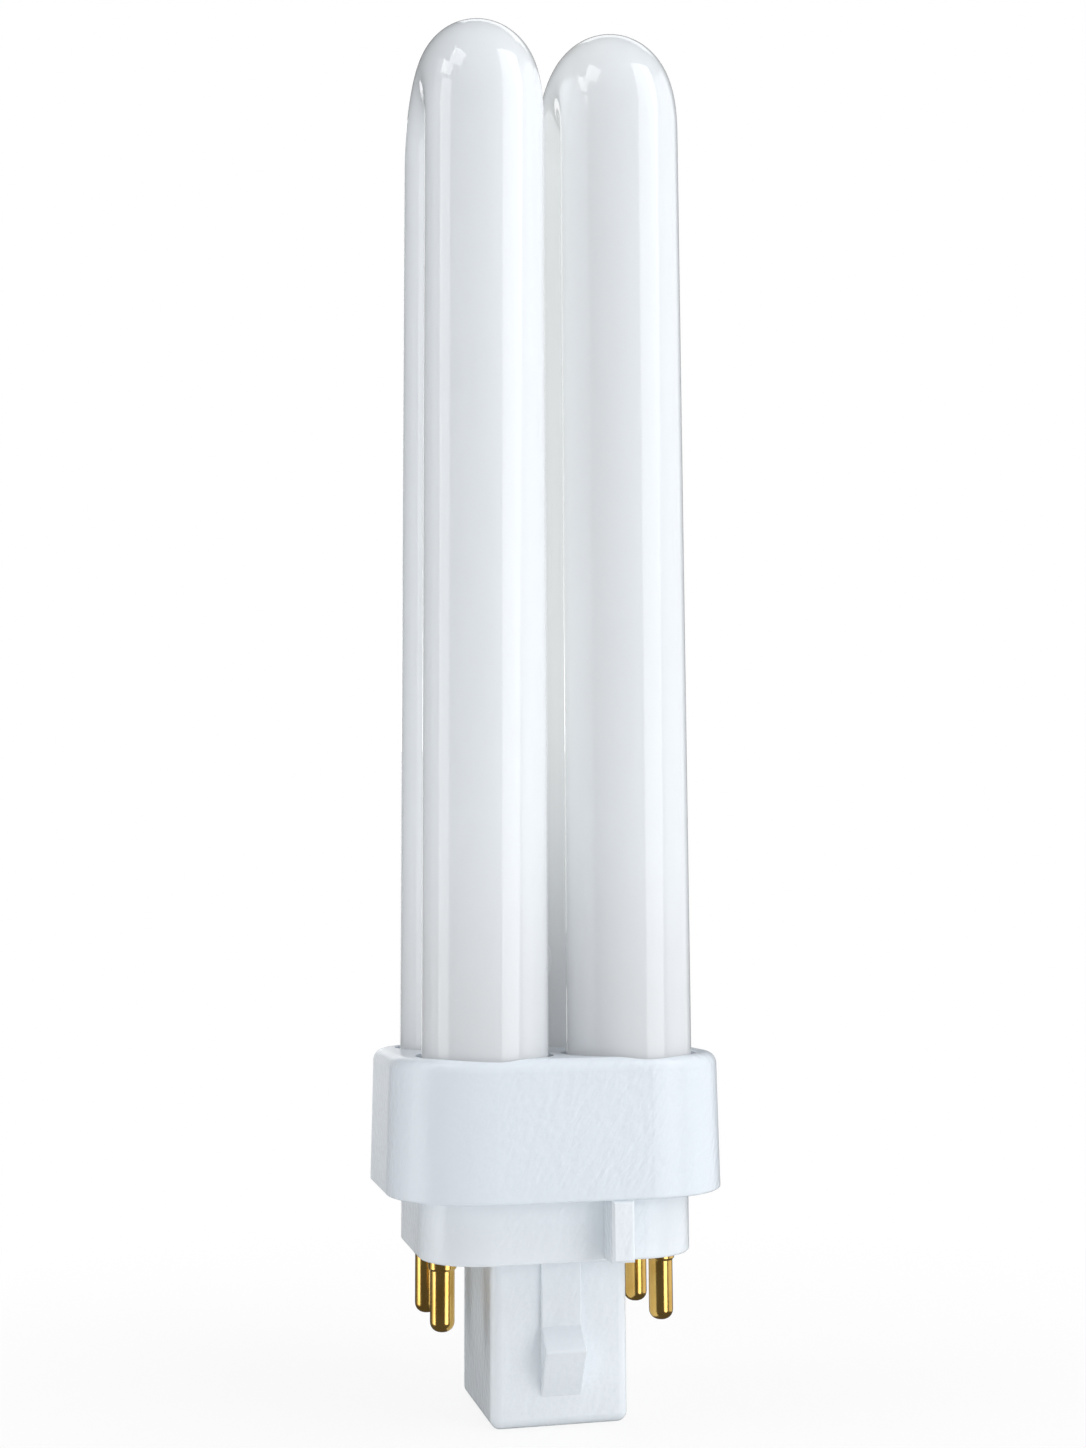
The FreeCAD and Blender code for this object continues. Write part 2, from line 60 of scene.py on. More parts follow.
# %% Place the camera
CAMERA_PLACE = (-0.04140, -0.17495, 0.04739)
CAMERA_HEADING = math.radians(13.419)
CAMERA_TIP = math.radians(6.884)
CAMERA_ROLL = math.radians(-0.285)
CAMERA_LENS = 42.75
CAMERA_NEAR = 5 * MM

camera = bpy.data.objects.new("camera", bpy.data.cameras.new("camera"))
bpy.context.scene.collection.objects.link(camera)
camera.data.lens = CAMERA_LENS
camera.data.clip_start = CAMERA_NEAR
camera.matrix_world = (
    Matrix.Translation(CAMERA_PLACE)
    @ Matrix.Rotation(-CAMERA_HEADING, 4, "Z")
    @ Matrix.Rotation(math.pi / 2 + CAMERA_TIP, 4, "X")
    @ Matrix.Rotation(CAMERA_ROLL, 4, "Z")
)
bpy.context.scene.camera = camera
print("camera lens in mm:", CAMERA_LENS)

# %% [markdown]
# ## Shader maths
#
# A finish is a small graph of nodes. Wiring each node by hand hides the idea, so one class wraps
# a socket and lets Python's own operators add the Math nodes, so that `1 - mask * 0.2` is two nodes
# and one line. Everything else comes from one method that takes a node's type, its settings and
# what goes into its sockets.

# %% A socket that can be used in sums
class Signal:
    """One socket of a finish's graph. A sum written with it adds Math nodes."""

    def __init__(self, graph, socket):
        self.graph = graph
        self.socket = socket

    def sum_node(self, operation, first, second):
        return self.graph.node("ShaderNodeMath", {"operation": operation}, {0: first, 1: second})

    def __add__(self, other):
        return self.sum_node("ADD", self, other)

    def __radd__(self, other):
        return self.sum_node("ADD", other, self)

    def __sub__(self, other):
        return self.sum_node("SUBTRACT", self, other)

    def __rsub__(self, other):
        return self.sum_node("SUBTRACT", other, self)

    def __mul__(self, other):
        return self.sum_node("MULTIPLY", self, other)

    def __rmul__(self, other):
        return self.sum_node("MULTIPLY", other, self)


print("operators ready: + - *")


# %% The graph that makes the nodes
class Graph:
    """The node tree of a material or of the world, filled by calls."""

    def __init__(self, owner):
        owner.use_nodes = True
        self.tree = owner.node_tree
        self.tree.nodes.clear()

    def node(self, kind, settings=None, inputs=None, output=0):
        """Add a node: its settings first, then the values or links of its sockets."""
        made = self.tree.nodes.new(kind)
        for name, setting in (settings or {}).items():
            setattr(made, name, setting)
        for name, given in (inputs or {}).items():
            if isinstance(given, Signal):
                self.tree.links.new(given.socket, made.inputs[name])
            else:
                made.inputs[name].default_value = given
        return Signal(self, made.outputs[output]) if made.outputs else None

    def place(self):
        """Where on the object, in metres, a point of the surface lies."""
        return self.node("ShaderNodeTexCoord", output="Object")

    def noise(self, where, size, detail=2.0):
        """Soft random values about 0.5, whose patches are about one size across, in metres."""
        inputs = {"Vector": where, "Scale": 1 / size, "Detail": detail, "Roughness": 0.5}
        return self.node("ShaderNodeTexNoise", {}, inputs)

    def ramp(self, value, start, end, low=0.0):
        """A smooth change from low at start to 1 at end."""
        inputs = {"Value": value, "From Min": start, "From Max": end, "To Min": low, "To Max": 1.0}
        return self.node("ShaderNodeMapRange", {"interpolation_type": "SMOOTHSTEP"}, inputs)

    def blend(self, factor, first, second):
        """One colour turning into another as the factor goes from 0 to 1."""
        settings = {"data_type": "RGBA"}
        inputs = {"Factor": factor, 6: first, 7: second}
        return self.node("ShaderNodeMix", settings, inputs, output=2)


print("graph ready: node, place, noise, ramp, blend")

# %% [markdown]
# ## White moulded plastic
#
# The housing and the cap are injection moulded. Such plastic is white right through, with a satin
# surface that takes its texture from the mould: here very fine, slanting ripples that only just
# break up the reflections. The colour hardly varies, so the life is in the roughness and the bump.
#
# A picture of plastic could be wrapped round the parts, but it would need an unwrapping and would
# show its seams. A noise worked out from each point's place on the object needs neither, so every
# finish here is made that way. The ripples are a noise pulled long on the slant. A Mapping node set
# to Texture turns the points first and stretches them after, which is the order that a slant
# needs. The cap's colours are lighter than the housing's: painted light, which lifts the collar and
# the post where the housing's overhang shades them. So one function makes both finishes from two
# pairs of colours.

# %% The plastic's finish
HOUSING_COLOURS = (0.776, 0.835, 0.901, 1.0), (0.800, 0.860, 0.925, 1.0)
# painted light: the cap's colours are lifted above the housing's to make up for the shade under the
# housing
CAP_COLOURS_WITH_PAINTED_LIGHT = (0.838, 0.888, 0.935, 1.0), (0.862, 0.913, 0.960, 1.0)
RIPPLE_SIZE = 0.6 * MM
RIPPLE_STRETCH = 2.2
RIPPLE_DEPTH = 0.14 * MM
RIPPLE_SLANT = math.radians(-50)
SATIN_PATCHES = 9 * MM


def moulded_plastic(name, colours):
    """White plastic with the fine slanting ripples of its mould."""
    material = bpy.data.materials.new(name)
    graph = Graph(material)
    where = graph.place()
    slanted = graph.node("ShaderNodeMapping", {"vector_type": "TEXTURE"}, {
        "Vector": where,
        "Rotation": (0.0, RIPPLE_SLANT, 0.0),
        "Scale": (RIPPLE_STRETCH, 1.0, 1.0),
    })
    ripples = graph.noise(slanted, RIPPLE_SIZE)
    patches = graph.noise(where, SATIN_PATCHES)
    bump = graph.node("ShaderNodeBump", {}, {
        "Strength": 0.5, "Distance": RIPPLE_DEPTH, "Height": ripples,
    })
    surface = graph.node("ShaderNodeBsdfPrincipled", {}, {
        "Base Color": graph.blend(patches, *colours),
        "Roughness": 0.19 + 0.08 * patches,
        "IOR": 1.49,
        "Normal": bump,
    })
    graph.node("ShaderNodeOutputMaterial", {}, {"Surface": surface})
    return material


# %% Give the finish to the housing and the cap
def dress(node, material):
    """Put a finish on a CAD node through its object's material slots."""
    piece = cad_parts[node]
    for slot in piece.material_slots:
        slot.material = material
    print(node, "has the finish", material.name)


dress("upper_housing", moulded_plastic("white_plastic", HOUSING_COLOURS))
# the cap gets the lighter colours: painted light on the collar and post
dress("pin_base", moulded_plastic("cap_plastic", CAP_COLOURS_WITH_PAINTED_LIGHT))

# %% [markdown]
# ## Cement and lead wires
#
# Both are nearly hidden. The cement shows as a dark brown ring in the gap round each leg. Its
# grains could be modelled one by one, but so little of them is seen that one noise, for both their
# colour and their height, does the same work. The leads are thin nickel-plated wire inside the
# housing. They keep the CAD's shape and get a plain metal that is duller in patches.

# %% The finishes inside
CEMENT_COLOURS = (0.045, 0.028, 0.016, 1.0), (0.11, 0.075, 0.045, 1.0)
CEMENT_GRAIN = 0.4 * MM
NICKEL_COLOURS = (0.52, 0.50, 0.47, 1.0), (0.66, 0.64, 0.60, 1.0)
NICKEL_PATCHES = 0.8 * MM


def lamp_cement():
    """Rough brown cement: grainy in colour and in height."""
    material = bpy.data.materials.new("cement")
    graph = Graph(material)
    where = graph.place()
    grains = graph.noise(where, CEMENT_GRAIN, detail=4.0)
    bump = graph.node("ShaderNodeBump", {}, {
        "Strength": 0.6, "Distance": 0.1 * MM, "Height": grains,
    })
    surface = graph.node("ShaderNodeBsdfPrincipled", {}, {
        "Base Color": graph.blend(grains, *CEMENT_COLOURS),
        "Roughness": 0.85 + 0.1 * grains,
        "Normal": bump,
    })
    graph.node("ShaderNodeOutputMaterial", {}, {"Surface": surface})
    return material


def nickel_wire():
    """Drawn nickel-plated wire, duller in patches."""
    material = bpy.data.materials.new("lead_wire")
    graph = Graph(material)
    patches = graph.noise(graph.place(), NICKEL_PATCHES)
    surface = graph.node("ShaderNodeBsdfPrincipled", {}, {
        "Base Color": graph.blend(patches, *NICKEL_COLOURS),
        "Metallic": 1.0,
        "Roughness": 0.25 + 0.15 * patches,
    })
    graph.node("ShaderNodeOutputMaterial", {}, {"Surface": surface})
    return material


dress("tube_cement", lamp_cement())
wire_finish = nickel_wire()
for end in ("front", "rear"):
    for side in ("left", "right"):
        dress(f"lead_wire_{end}_{side}", wire_finish)

# %% [markdown]
# ## Surfaces from grids of points
#
# The glass and the pins are made again here, finer than the CAD's. A Subdivision Surface modifier
# could be put on the CAD's meshes, but they are loose triangles, whose facets would stay. A surface
# worked out from its own formula is as smooth as its grid is fine.
#
# Each is a grid of points: a row is a ring round the piece, and the rows follow one another along
# it. The last column joins the first, and a single point closes each end, so the surface has no
# hole and no seam. The faces point outwards as long as the rows run the way that a right-handed
# screw moves when it is turned along the columns.

# %% From grid to mesh
def closed_grid(rings):
    """Vertices and faces of a closed surface.

    The rings are an array of rows, columns and x, y, z. Each end ring gets a pole: the mean of its
    points. Faces are quads between neighbours, and fans of triangles at the poles.
    """
    rows, columns, _ = rings.shape
    ring_points = rings.reshape(-1, 3)
    points = np.concatenate([ring_points, [rings[0].mean(0)], [rings[-1].mean(0)]])
    row, column = np.meshgrid(np.arange(rows - 1), np.arange(columns), indexing="ij")
    beside = (column + 1) % columns
    corners = [row * columns + column, row * columns + beside]
    corners += [corners[1] + columns, corners[0] + columns]
    quads = np.stack(corners, -1).reshape(-1, 4)
    around = np.arange(columns)
    onward = (around + 1) % columns
    first_pole, last_pole = rows * columns, rows * columns + 1
    last_row = (rows - 1) * columns
    start_fan = np.stack([np.full(columns, first_pole), onward, around], -1)
    end_fan = np.stack([np.full(columns, last_pole), last_row + around, last_row + onward], -1)
    return points, quads.tolist() + start_fan.tolist() + end_fan.tolist()


# %% From mesh to a piece of the lamp
def make_piece(name, parts, material, slot, *nodes):
    """One object from several closed grids. It rides on the lamp, and the CAD nodes it replaces are
    hidden.
    """
    points, faces, start = [], [], 0
    for part_points, part_faces in parts:
        points.append(part_points)
        faces += [[start + corner for corner in face] for face in part_faces]
        start += len(part_points)
    mesh = bpy.data.meshes.new(name)
    mesh.from_pydata(np.concatenate(points).tolist(), [], faces)
    mesh.shade_smooth()
    mesh.materials.append(material)
    piece = bpy.data.objects.new(name, mesh)
    bpy.context.scene.collection.objects.link(piece)
    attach(piece, "root")
    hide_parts(*nodes)
    print(name, "has", len(mesh.polygons), "faces")


# %% [markdown]
# ## The glass tubes
#
# Each U is one glass tube, heated and bent in a mould until its legs nearly touch. The front legs
# are pinched flat at the end, where the leads go through, and the rear legs are closed round. A
# short blown bridge joins the rear legs, flared where it meets them.
#
# A curve with a round bevel would give the U quickly, but not the pinch. Here a circle is carried
# along the U's path, and the same sweep narrows into the pinch and the round end, so that glass
# flows from one into the other as it does when it is softened.

# %% The tubes' sizes
LEG_X = 7.325 * MM
LEG_Y = 6.9 * MM
TUBE_RADIUS = 6.25 * MM
BEND_Z = 131.95 * MM
LEG_END_Z = 29.4 * MM
PINCH_TOP_Z = 27.2 * MM
PINCH_END_Z = 24.4 * MM
PINCH_HALF = 1.2 * MM
PINCH_OPEN = 3 * TUBE_RADIUS
END_ROUND = 4.5 * MM
SEAL_SOFT = 0.35 * MM
BRIDGE_Z = 44.4 * MM
BRIDGE_RADIUS = 2.8 * MM
BRIDGE_SINK = 0.5 * MM
BRIDGE_FLARE = 0.5 * MM
BRIDGE_FALL = 0.45 * MM
TIP_Z = 27.4 * MM
TIP_RADIUS = 1.5 * MM
print("gap between the two U's in mm:", round(2 * (LEG_X - TUBE_RADIUS) / MM, 2))
print("tubes' top in mm:", round((BEND_Z + LEG_Y + TUBE_RADIUS) / MM, 2))

# %% How fine the grids are
SEAL_ROWS = 7
BLADE_ROWS = 26
LEG_ROWS = 14
BEND_ROWS = 72
END_ROWS = 14
BRIDGE_ROWS = 41
TIP_ROWS = 10
ROUND_COLUMNS = 96
turn = np.linspace(0, 2 * math.pi, ROUND_COLUMNS, endpoint=False)
print("a ring of the tube has", ROUND_COLUMNS, "points")


# %% A circle carried along a path
def swept_rings(side, y, z, lean, radius=TUBE_RADIUS, flat=0.0):
    """Rings of a leg about a path in an upright plane.

    A point is the path's, plus r cos(t) across the plane and r sin(t) in the plane, at right angles
    to the path. Where flat is above 0 the part across is held within the pinch's half thickness
    over flat, softly: c / (1 + (c / limit)^4)^(1/4).
    """
    given = np.broadcast_arrays(y, z, lean, radius, flat)
    y, z, lean, radius, flat = (array[:, None] for array in given)
    across = radius * np.cos(turn)
    across = across / (1 + (flat * across / PINCH_HALF) ** 4) ** 0.25
    along = radius * np.sin(turn)
    return np.stack([side * LEG_X + across, y + along * np.cos(lean), z - along * np.sin(lean)], -1)


# %% The pinched end
def pinched_end(side):
    """The front leg's end: a flat seal with soft edges, opening smoothly into the round leg.

    Near the end both half sizes shrink by s (1 - sin a) while the height is s (1 - cos a). Above
    the seal the limit on the part across grows as t^2 (3 - 2 t), until it holds nothing back.
    """
    edge = np.linspace(0, math.pi / 2, SEAL_ROWS)
    inset = SEAL_SOFT * (1 - np.sin(edge))
    rim_z = PINCH_END_Z + SEAL_SOFT * (1 - np.cos(edge))
    rim_flat = PINCH_HALF / (PINCH_HALF - inset)
    rim = swept_rings(side, -LEG_Y, rim_z, 0.0, TUBE_RADIUS - inset, rim_flat)
    rise = np.linspace(0, 1, BLADE_ROWS)[1:-1]
    limit = PINCH_HALF + rise**2 * (3 - 2 * rise) * (PINCH_OPEN - PINCH_HALF)
    blade_z = PINCH_TOP_Z + rise * (LEG_END_Z - PINCH_TOP_Z)
    blade = swept_rings(side, -LEG_Y, blade_z, 0.0, TUBE_RADIUS, PINCH_HALF / limit)
    return np.concatenate([rim, blade])


# %% One U tube
def u_tube(side):
    """A U: the pinched end, the front leg, half a ring over the top, the rear leg, a round end.

    On the bend the path is y = -b cos(a), z = top + b sin(a) as a goes from 0 to a half turn. On
    the round end the radius is R - e + e cos(a) while the end is reached as e sin(a).
    """
    up = np.linspace(LEG_END_Z, BEND_Z, LEG_ROWS, endpoint=False)
    front = swept_rings(side, -LEG_Y, up, 0.0)
    angle = np.linspace(0, math.pi, BEND_ROWS)
    bend = swept_rings(side, -LEG_Y * np.cos(angle), BEND_Z + LEG_Y * np.sin(angle), angle)
    down = np.linspace(BEND_Z, LEG_END_Z + END_ROUND, LEG_ROWS)[1:]
    rear = swept_rings(side, LEG_Y, down, math.pi)
    close = np.linspace(0, math.pi / 2, END_ROWS)[1:]
    end_radius = TUBE_RADIUS - END_ROUND + END_ROUND * np.cos(close)
    end_z = LEG_END_Z + END_ROUND * (1 - np.sin(close))
    end = swept_rings(side, LEG_Y, end_z, math.pi, end_radius)
    return closed_grid(np.concatenate([pinched_end(side), front, bend, rear, end]))


# %% The bridge
def blown_bridge():
    """The tube between the rear legs.

    Its circle has radius r, plus a flare that dies away from the legs as exp(-gap / fall). Each
    column runs to where the leg's round side lies, leg_x - sqrt(R^2 - (r cos t)^2), and a little
    further, so that both ends close inside the glass.
    """
    reach = LEG_X - np.sqrt(TUBE_RADIUS**2 - (BRIDGE_RADIUS * np.cos(turn)) ** 2)
    x = np.linspace(-1, 1, BRIDGE_ROWS)[:, None] * (reach + BRIDGE_SINK)
    gap = np.maximum(reach - np.abs(x), 0)
    radius = BRIDGE_RADIUS + BRIDGE_FLARE * np.exp(-gap / BRIDGE_FALL)
    y = LEG_Y + radius * np.cos(turn)
    z = BRIDGE_Z + radius * np.sin(turn)
    return closed_grid(np.stack([x, y, z], -1))


# %% The exhaust tip
def turned_rings(centre, radius, z):
    """A profile of radius against height, turned about an upright line: r cos(t) and r sin(t)."""
    x = centre[0] + radius[:, None] * np.cos(turn)
    y = centre[1] + radius[:, None] * np.sin(turn)
    return np.stack([x, y, np.broadcast_to(z[:, None], x.shape)], -1)


def exhaust_tip():
    """The sealed stub of the tube that the air was drawn out through: half a ball and a stem."""
    angle = np.linspace(0, math.pi / 2, TIP_ROWS)[1:]
    radius = np.append(TIP_RADIUS * np.sin(angle), TIP_RADIUS)
    z = np.append(TIP_Z + TIP_RADIUS * (1 - np.cos(angle)), LEG_END_Z + TIP_RADIUS)
    return closed_grid(turned_rings((-LEG_X, LEG_Y), radius, z))


# %% [markdown]
# ## Glass over a white coating
#
# The tube is clear glass with a white powder inside, so two things show at once: the coating,
# matte and nearly even, and over it the sharp reflections of the outer glass. They could be two
# surfaces, a glass wall and a white one inside it, but light would have to find its way through
# the wall at every point. One Principled shader does both: a rough base, and a clear coat for the
# glass. The coating is a little uneven, and it is greyer in the last centimetres above the housing:
# partly the darkening that the hot ends of the tube give it with use, and partly painted shade,
# where the housing keeps light off the feet.
#
# The powder also passes light on. Light that falls on the far side of a tube comes out on the near
# side, and between the two U's it goes back and forth, so the gap looks warm and bright instead of
# dark. Tracing that inside the glass is slow, so that light is painted into the coating as a faint
# glow: painted light, given off by the coating though it is no lamp. The painted glow is even on
# the open sides, grows towards the middle of the gap and falls back at the feet.

# %% The tubes' finish
COATING = (0.740, 0.780, 0.822, 1.0)
COATING_THIN = (0.720, 0.760, 0.803, 1.0)
# greyer coating near the housing: partly wear from the hot ends, partly painted shade from the
# housing
COATING_WORN_AND_SHADED = (0.645, 0.668, 0.700, 1.0)
CLOUD_SIZE = 12 * MM
SPECKLE_SIZE = 0.5 * MM
# painted light: the coating's glow stands in for light passed through the tubes and between them
OPEN_PAINTED_GLOW = (0.100, 0.100, 0.097, 1.0)
GAP_PAINTED_GLOW = (0.235, 0.222, 0.200, 1.0)
WORN_AND_SHADED_TOP = 60 * MM
WORN_AND_SHADED_FOOT = 34 * MM
WORN_AND_SHADED_WANDER = 3 * MM
PAINTED_GLOW_TOP = 75 * MM
PAINTED_GLOW_X = 9 * MM, 2.5 * MM
PAINTED_GLOW_Y = 17 * MM, 4 * MM


def coated_glass():
    """A matte white coating seen through clear glass."""
    material = bpy.data.materials.new("coated_glass")
    graph = Graph(material)
    where = graph.place()
    height = graph.node("ShaderNodeSeparateXYZ", {}, {"Vector": where}, output="Z")
    clouds = graph.noise(where, CLOUD_SIZE, detail=3.0)
    coating = graph.blend(clouds, COATING_THIN, COATING)
    wander = graph.noise(where, CLOUD_SIZE / 2) - 0.5
    # painted shade and wear: the coating turns greyer towards the housing
    worn_and_shaded = graph.ramp(height + wander * WORN_AND_SHADED_WANDER, WORN_AND_SHADED_TOP, WORN_AND_SHADED_FOOT)
    folded = graph.node("ShaderNodeVectorMath", {"operation": "ABSOLUTE"}, {0: where})
    off_x = graph.node("ShaderNodeSeparateXYZ", {}, {"Vector": folded}, output="X")
    off_y = graph.node("ShaderNodeSeparateXYZ", {}, {"Vector": folded}, output="Y")
    in_gap = graph.ramp(off_x, *PAINTED_GLOW_X) * graph.ramp(off_y, *PAINTED_GLOW_Y)
    above_feet = graph.ramp(height, WORN_AND_SHADED_FOOT, PAINTED_GLOW_TOP)
    speckle = graph.noise(where, SPECKLE_SIZE)
    bump = graph.node("ShaderNodeBump", {}, {
        "Strength": 0.15, "Distance": 0.03 * MM, "Height": speckle,
    })
    surface = graph.node("ShaderNodeBsdfPrincipled", {}, {
        "Base Color": graph.blend(worn_and_shaded, coating, COATING_WORN_AND_SHADED),
        "Roughness": 0.85,
        "Specular IOR Level": 0.0,
        "Coat Weight": 1.0,
        "Coat Roughness": 0.015,
        "Coat IOR": 1.5,
        # painted light: a glow in the coating, brighter in the gap between the two U's
        "Emission Color": graph.blend(in_gap * above_feet, OPEN_PAINTED_GLOW, GAP_PAINTED_GLOW),
        "Emission Strength": 1.0,
        "Normal": bump,
    })
    graph.node("ShaderNodeOutputMaterial", {}, {"Surface": surface})
    return material


# %% Make the tubes
tube_parts = [u_tube(-1), u_tube(1), blown_bridge(), exhaust_tip()]
make_piece("coated_tubes", tube_parts, coated_glass(), "coated_glass", "discharge_tube")

# %% [markdown]
# ## The brass pins
#
# Each pin is turned from brass bar: a round tip, a plain shank, a ring with a small cone under it
# that stops the pin against the collar, and above the collar's floor a head riveted over. A
# cylinder with a Bevel modifier would come close, but each step would be a piece of its own. A
# profile of radius against height, swung about the pin's own axis, is just what a lathe makes.
# Every corner of the profile gets a small arc, because a sharp edge on polished metal would show
# no line of light. The metal is smooth. Squeezed sideways, a noise turns into the lathe's flat
# rings, and the colour is deeper where the brass has tarnished.

# %% A profile with rounded corners
def softened(corners, rounds, steps=7):
    """The points of a profile whose corners are arcs.

    At a corner with half angle h between its two edges, an arc of radius r has its centre at
    r / sin(h) along the bisector and starts r / tan(h) before the corner. The arc's points are
    worked out for all corners at once by turning the start's direction into the end's.
    """
    corners = np.array(corners, float)
    rounds = np.array(rounds, float)[:, None]
    before = corners[:-2] - corners[1:-1]
    after = corners[2:] - corners[1:-1]
    before /= np.linalg.norm(before, axis=1, keepdims=True)
    after /= np.linalg.norm(after, axis=1, keepdims=True)
    half = np.arccos((before * after).sum(1, keepdims=True)) / 2
    middle_way = before + after
    middle_way /= np.linalg.norm(middle_way, axis=1, keepdims=True)
    centre = corners[1:-1] + middle_way * rounds / np.sin(half)
    start = corners[1:-1] + before * rounds / np.tan(half) - centre
    end = corners[1:-1] + after * rounds / np.tan(half) - centre
    sweep = (math.pi - 2 * half)[:, None]
    part = np.linspace(0, 1, steps)[None, :, None]
    turned = np.sin((1 - part) * sweep) * start[:, None] + np.sin(part * sweep) * end[:, None]
    return (centre[:, None] + turned / np.sin(sweep)).reshape(-1, 2)


# %% The pins' sizes
PIN_X = 11.1 * MM
PIN_Y = 4.55 * MM
COLLAR_Z = 16.0 * MM

# radius and height above the collar's underside, in millimetres, and the radius of the corner
PIN_PROFILE = [
    ((0.00, -7.1), None),
    ((1.20, -7.1), 0.95),
    ((1.20, -1.3), 0.06),
    ((1.38, -1.1), 0.06),
    ((1.38, 0.1), 0.02),
    ((1.20, 0.1), 0.02),
    ((1.20, 2.0), 0.02),
    ((1.40, 2.0), 0.02),
    ((1.40, 2.4), 0.20),
    ((0.75, 2.4), 0.10),
    ((0.75, -2.0), 0.20),
    ((0.00, -2.0), None),
]
print("pins on a circle of", round(2 * math.hypot(PIN_X, PIN_Y) / MM, 2), "mm")

# %% The pins' finish
BRASS_COLOURS = (0.90, 0.58, 0.17, 1.0), (0.80, 0.48, 0.12, 1.0)
RING_SIZE = 0.08 * MM
RING_SQUEEZE = 0.03
TARNISH_SIZE = 2.5 * MM
TARNISH_RAMP = 0.40, 0.75


def turned_brass():
    """Polished brass with the lathe's fine rings, a little tarnished in patches."""
    material = bpy.data.materials.new("pin_brass")
    graph = Graph(material)
    where = graph.place()
    squeezed = graph.node("ShaderNodeMapping", {}, {
        "Vector": where, "Scale": (RING_SQUEEZE, RING_SQUEEZE, 1.0),
    })
    rings = graph.noise(squeezed, RING_SIZE)
    tarnish = graph.ramp(graph.noise(where, TARNISH_SIZE, detail=3.0), *TARNISH_RAMP)
    bump = graph.node("ShaderNodeBump", {}, {
        "Strength": 0.15, "Distance": 0.01 * MM, "Height": rings,
    })
    surface = graph.node("ShaderNodeBsdfPrincipled", {}, {
        "Base Color": graph.blend(tarnish, *BRASS_COLOURS),
        "Metallic": 1.0,
        "Roughness": 0.19 + 0.04 * tarnish,
        "Normal": bump,
    })
    graph.node("ShaderNodeOutputMaterial", {}, {"Surface": surface})
    return material


# %% Turn the four pins
brass = turned_brass()
pin_corners = [corner for corner, _ in PIN_PROFILE]
pin_rounds = [size for _, size in PIN_PROFILE[1:-1]]
pin_radius, pin_z = softened(pin_corners, pin_rounds).T * MM
for end, depth in (("front", -PIN_Y), ("rear", PIN_Y)):
    for side, across in (("left", -PIN_X), ("right", PIN_X)):
        rings = turned_rings((across, depth), pin_radius, COLLAR_Z + pin_z)
        name = f"turned_pin_{end}_{side}"
        make_piece(name, [closed_grid(rings)], brass, "pin_brass", f"contact_pin_{end}_{side}")

# %% [markdown]
# ## The floor
#
# The lamp stands on its post, on plain white paper. In a studio the paper curves up behind, but
# that curve would stand in the way from the other sides. So the floor is flat. Near the lamp the
# camera still sees its soft shadow, and further off it sees pure white, so that the floor runs
# into the background with no edge. Only what the camera sees is whitened, never the light on the
# lamp. Reflections leave the floor out, because the photo's pins and plastic mirror a dark room
# from below.

# %% The floor's finish
PAPER = (0.88, 0.88, 0.88, 1.0)
WHITE = (1.0, 1.0, 1.0, 1.0)
PAPER_GRAIN = 0.6 * MM
FLOOR_NEAR = 20 * MM
FLOOR_FAR = 120 * MM
FLOOR_LIFT = 0.85


def paper():
    """White paper near the lamp, turning into pure white away from it for the camera."""
    material = bpy.data.materials.new("paper")
    graph = Graph(material)
    where = graph.place()
    away = graph.node("ShaderNodeVectorMath", {"operation": "LENGTH"}, {0: where}, output="Value")
    grain = graph.noise(where, PAPER_GRAIN)
    bump = graph.node("ShaderNodeBump", {}, {
        "Strength": 0.05, "Distance": 0.05 * MM, "Height": grain,
    })
    sheet = graph.node("ShaderNodeBsdfPrincipled", {}, {
        "Base Color": PAPER,
        "Roughness": 0.8,
        "Normal": bump,
    })
    white = graph.node("ShaderNodeEmission", {}, {"Color": WHITE})
    seen = graph.node("ShaderNodeLightPath", output="Is Camera Ray")
    factor = seen * graph.ramp(away, FLOOR_NEAR, FLOOR_FAR, low=FLOOR_LIFT)
    both = graph.node("ShaderNodeMixShader", {}, {"Fac": factor, 1: sheet, 2: white})
    graph.node("ShaderNodeOutputMaterial", {}, {"Surface": both})
    return material


# %% Lay the floor
FLOOR_HALF = 4.0
floor_mesh = bpy.data.meshes.new("floor")
corner_signs = (-1, -1), (1, -1), (1, 1), (-1, 1)
floor_corners = [(x * FLOOR_HALF, y * FLOOR_HALF, 0.0) for x, y in corner_signs]
floor_mesh.from_pydata(floor_corners, [], [(0, 1, 2, 3)])
floor_mesh.materials.append(paper())
floor = bpy.data.objects.new("floor", floor_mesh)
bpy.context.scene.collection.objects.link(floor)
floor.visible_glossy = False
print("floor in metres:", 2 * FLOOR_HALF, "across")

# %% [markdown]
# ## The studio
#
# Glass shows its lights, so their shapes matter as much as their strength. The photo's reflections
# say where each one stood: a tall panel to the right that leans over, a wide card beyond it, a
# narrow strip to the left with a dim card beside it, two small panes of a window above that, a
# card straight behind, and a panel high at the back that draws the rim of light on the domes.
# Between them the room is dark, and the dark parts draw the tubes' outlines.
#
# A picture of a studio wrapped round the scene could give all of this at once, but separate area
# lights can be moved one by one until each reflection lies where the photo has it. The brightness
# is that of a light's face, where 1 is white paper in full light, and its power in watts is that
# brightness times pi times its area. Two fills and a ceiling bring the shaded sides up to a plain
# level. They are kept out of the reflections.

# %% A light for each reflection
TARGET = np.array([0.0, 0.0, 80 * MM])
LIGHT_DISTANCE = 0.8


def face_size(angle):
    """The width of a face that fills an angle as seen from the lamp: 2 d tan(a / 2)."""
    return 2 * LIGHT_DISTANCE * math.tan(math.radians(angle) / 2)


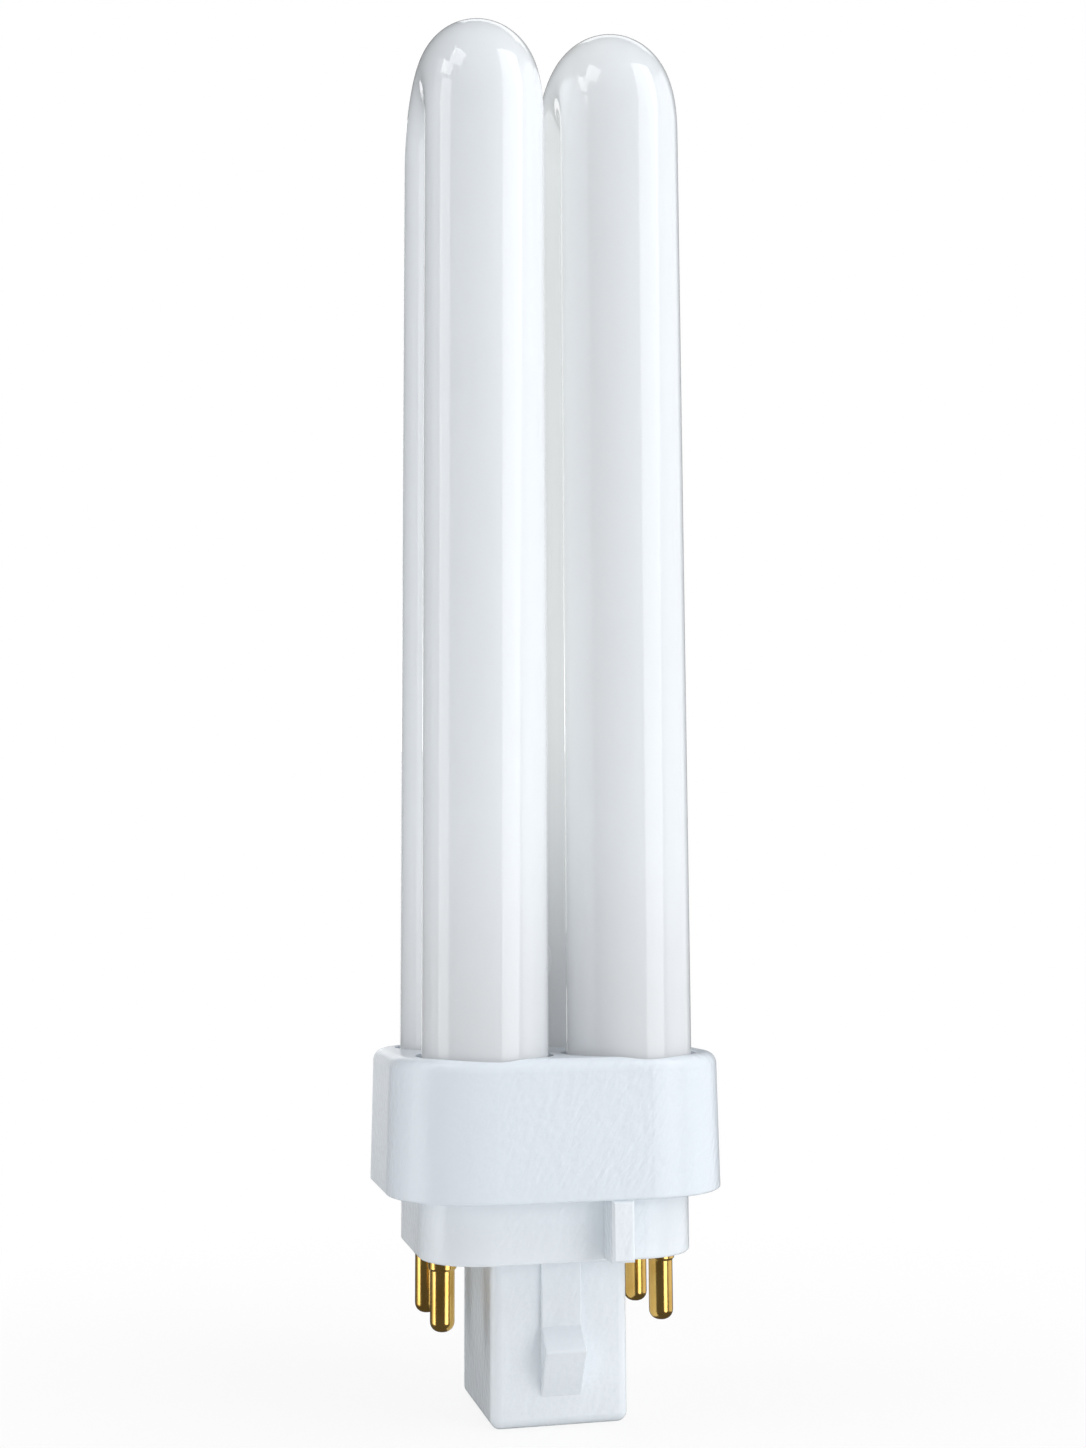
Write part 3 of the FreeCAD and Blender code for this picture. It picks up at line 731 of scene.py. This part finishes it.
def panel(name, azimuth, elevation, width, height, brightness, lean=0.0):
    """An area light facing the lamp.

    Azimuth 0 is in front and 90 to the right, in degrees. The width and height are the angles that
    the light fills as seen from the lamp. A leaning panel's top is further to the right.
    """
    turned, raised = math.radians(azimuth), math.radians(elevation)
    toward = np.array([
        math.sin(turned) * math.cos(raised), -math.cos(turned) * math.cos(raised), math.sin(raised),
    ])
    light = bpy.data.lights.new(name, "AREA")
    light.shape = "RECTANGLE"
    light.size = face_size(width)
    light.size_y = face_size(height)
    light.energy = brightness * math.pi * light.size * light.size_y
    holder = bpy.data.objects.new(name, light)
    bpy.context.scene.collection.objects.link(holder)
    level = np.array([math.cos(turned), math.sin(turned), 0.0])
    rolled = math.radians(lean)
    across = level * math.cos(rolled) - np.cross(toward, level) * math.sin(rolled)
    upward = np.cross(toward, across)
    axes = np.column_stack([across, upward, toward])
    stand = Matrix.Translation(TARGET + LIGHT_DISTANCE * toward)
    holder.matrix_world = stand @ Matrix(axes.tolist()).to_4x4()
    holder.visible_camera = False
    print(name, "at", azimuth, "degrees")


# %% Set the lights
panel("key_panel", azimuth=41.5, elevation=20, width=36, height=100, brightness=2.35, lean=15)
panel("right_card", azimuth=92.5, elevation=12, width=63, height=75, brightness=0.72)
panel("left_strip", azimuth=-91, elevation=5, width=24, height=70, brightness=2.1)
panel("left_card", azimuth=-112, elevation=12, width=26, height=75, brightness=0.5)
panel("window_low_pane", azimuth=-99, elevation=47, width=20, height=8, brightness=2.6)
panel("window_high_pane", azimuth=-82, elevation=58, width=20, height=13, brightness=2.6)
panel("back_card", azimuth=180, elevation=17.5, width=18, height=25, brightness=1.0)
panel("rim_panel", azimuth=158, elevation=51, width=26, height=12, brightness=0.9)
panel("back_fill", azimuth=175, elevation=8, width=50, height=40, brightness=1.0)
panel("camera_fill", azimuth=-13, elevation=2, width=16, height=40, brightness=3.4)
panel("ceiling", azimuth=180, elevation=89, width=80, height=80, brightness=0.8)
for name in ("back_fill", "camera_fill", "ceiling"):
    bpy.data.objects[name].visible_glossy = False

# %% [markdown]
# ## The room and the white background
#
# Behind the lamp hangs a white sheet, and the rest of the room is nearly dark, which is what gives
# the pins their dark cores. The sheet could be a lit plane, but the lamp has to stand before white
# from every side. So the world asks what kind of ray meets it. The camera sees white everywhere,
# and so does light that passes through. Reflections see full white only where the sheet hangs,
# within nine degrees of straight behind. From there it fades, and from thirteen degrees on only a
# faint grey is left.

# %% Room light
ROOM = (0.02, 0.02, 0.02, 1.0)
SHEET_EDGE = math.cos(math.radians(13))
SHEET_FULL = math.cos(math.radians(9))
ROOM_GREY = 0.08
world = bpy.data.worlds.new("room")
bpy.context.scene.world = world
graph = Graph(world)
direction = graph.node("ShaderNodeTexCoord", output="Generated")
behind = graph.node("ShaderNodeSeparateXYZ", {}, {"Vector": direction}, output="Y")
sheet = graph.ramp(behind, SHEET_EDGE, SHEET_FULL, low=ROOM_GREY)
camera_ray = graph.node("ShaderNodeLightPath", output="Is Camera Ray")
passing_ray = graph.node("ShaderNodeLightPath", output="Is Transmission Ray")
mirrored_ray = graph.node("ShaderNodeLightPath", output="Is Glossy Ray")
room = graph.node("ShaderNodeBackground", {}, {"Color": ROOM})
white = graph.node("ShaderNodeBackground", {}, {"Color": WHITE})
shown = camera_ray + passing_ray + mirrored_ray * sheet
both = graph.node("ShaderNodeMixShader", {}, {"Fac": shown, 1: room, 2: white})
graph.node("ShaderNodeOutputWorld", {}, {"Surface": both})
bpy.context.scene.view_settings.view_transform = "Standard"
print("room and background ready")
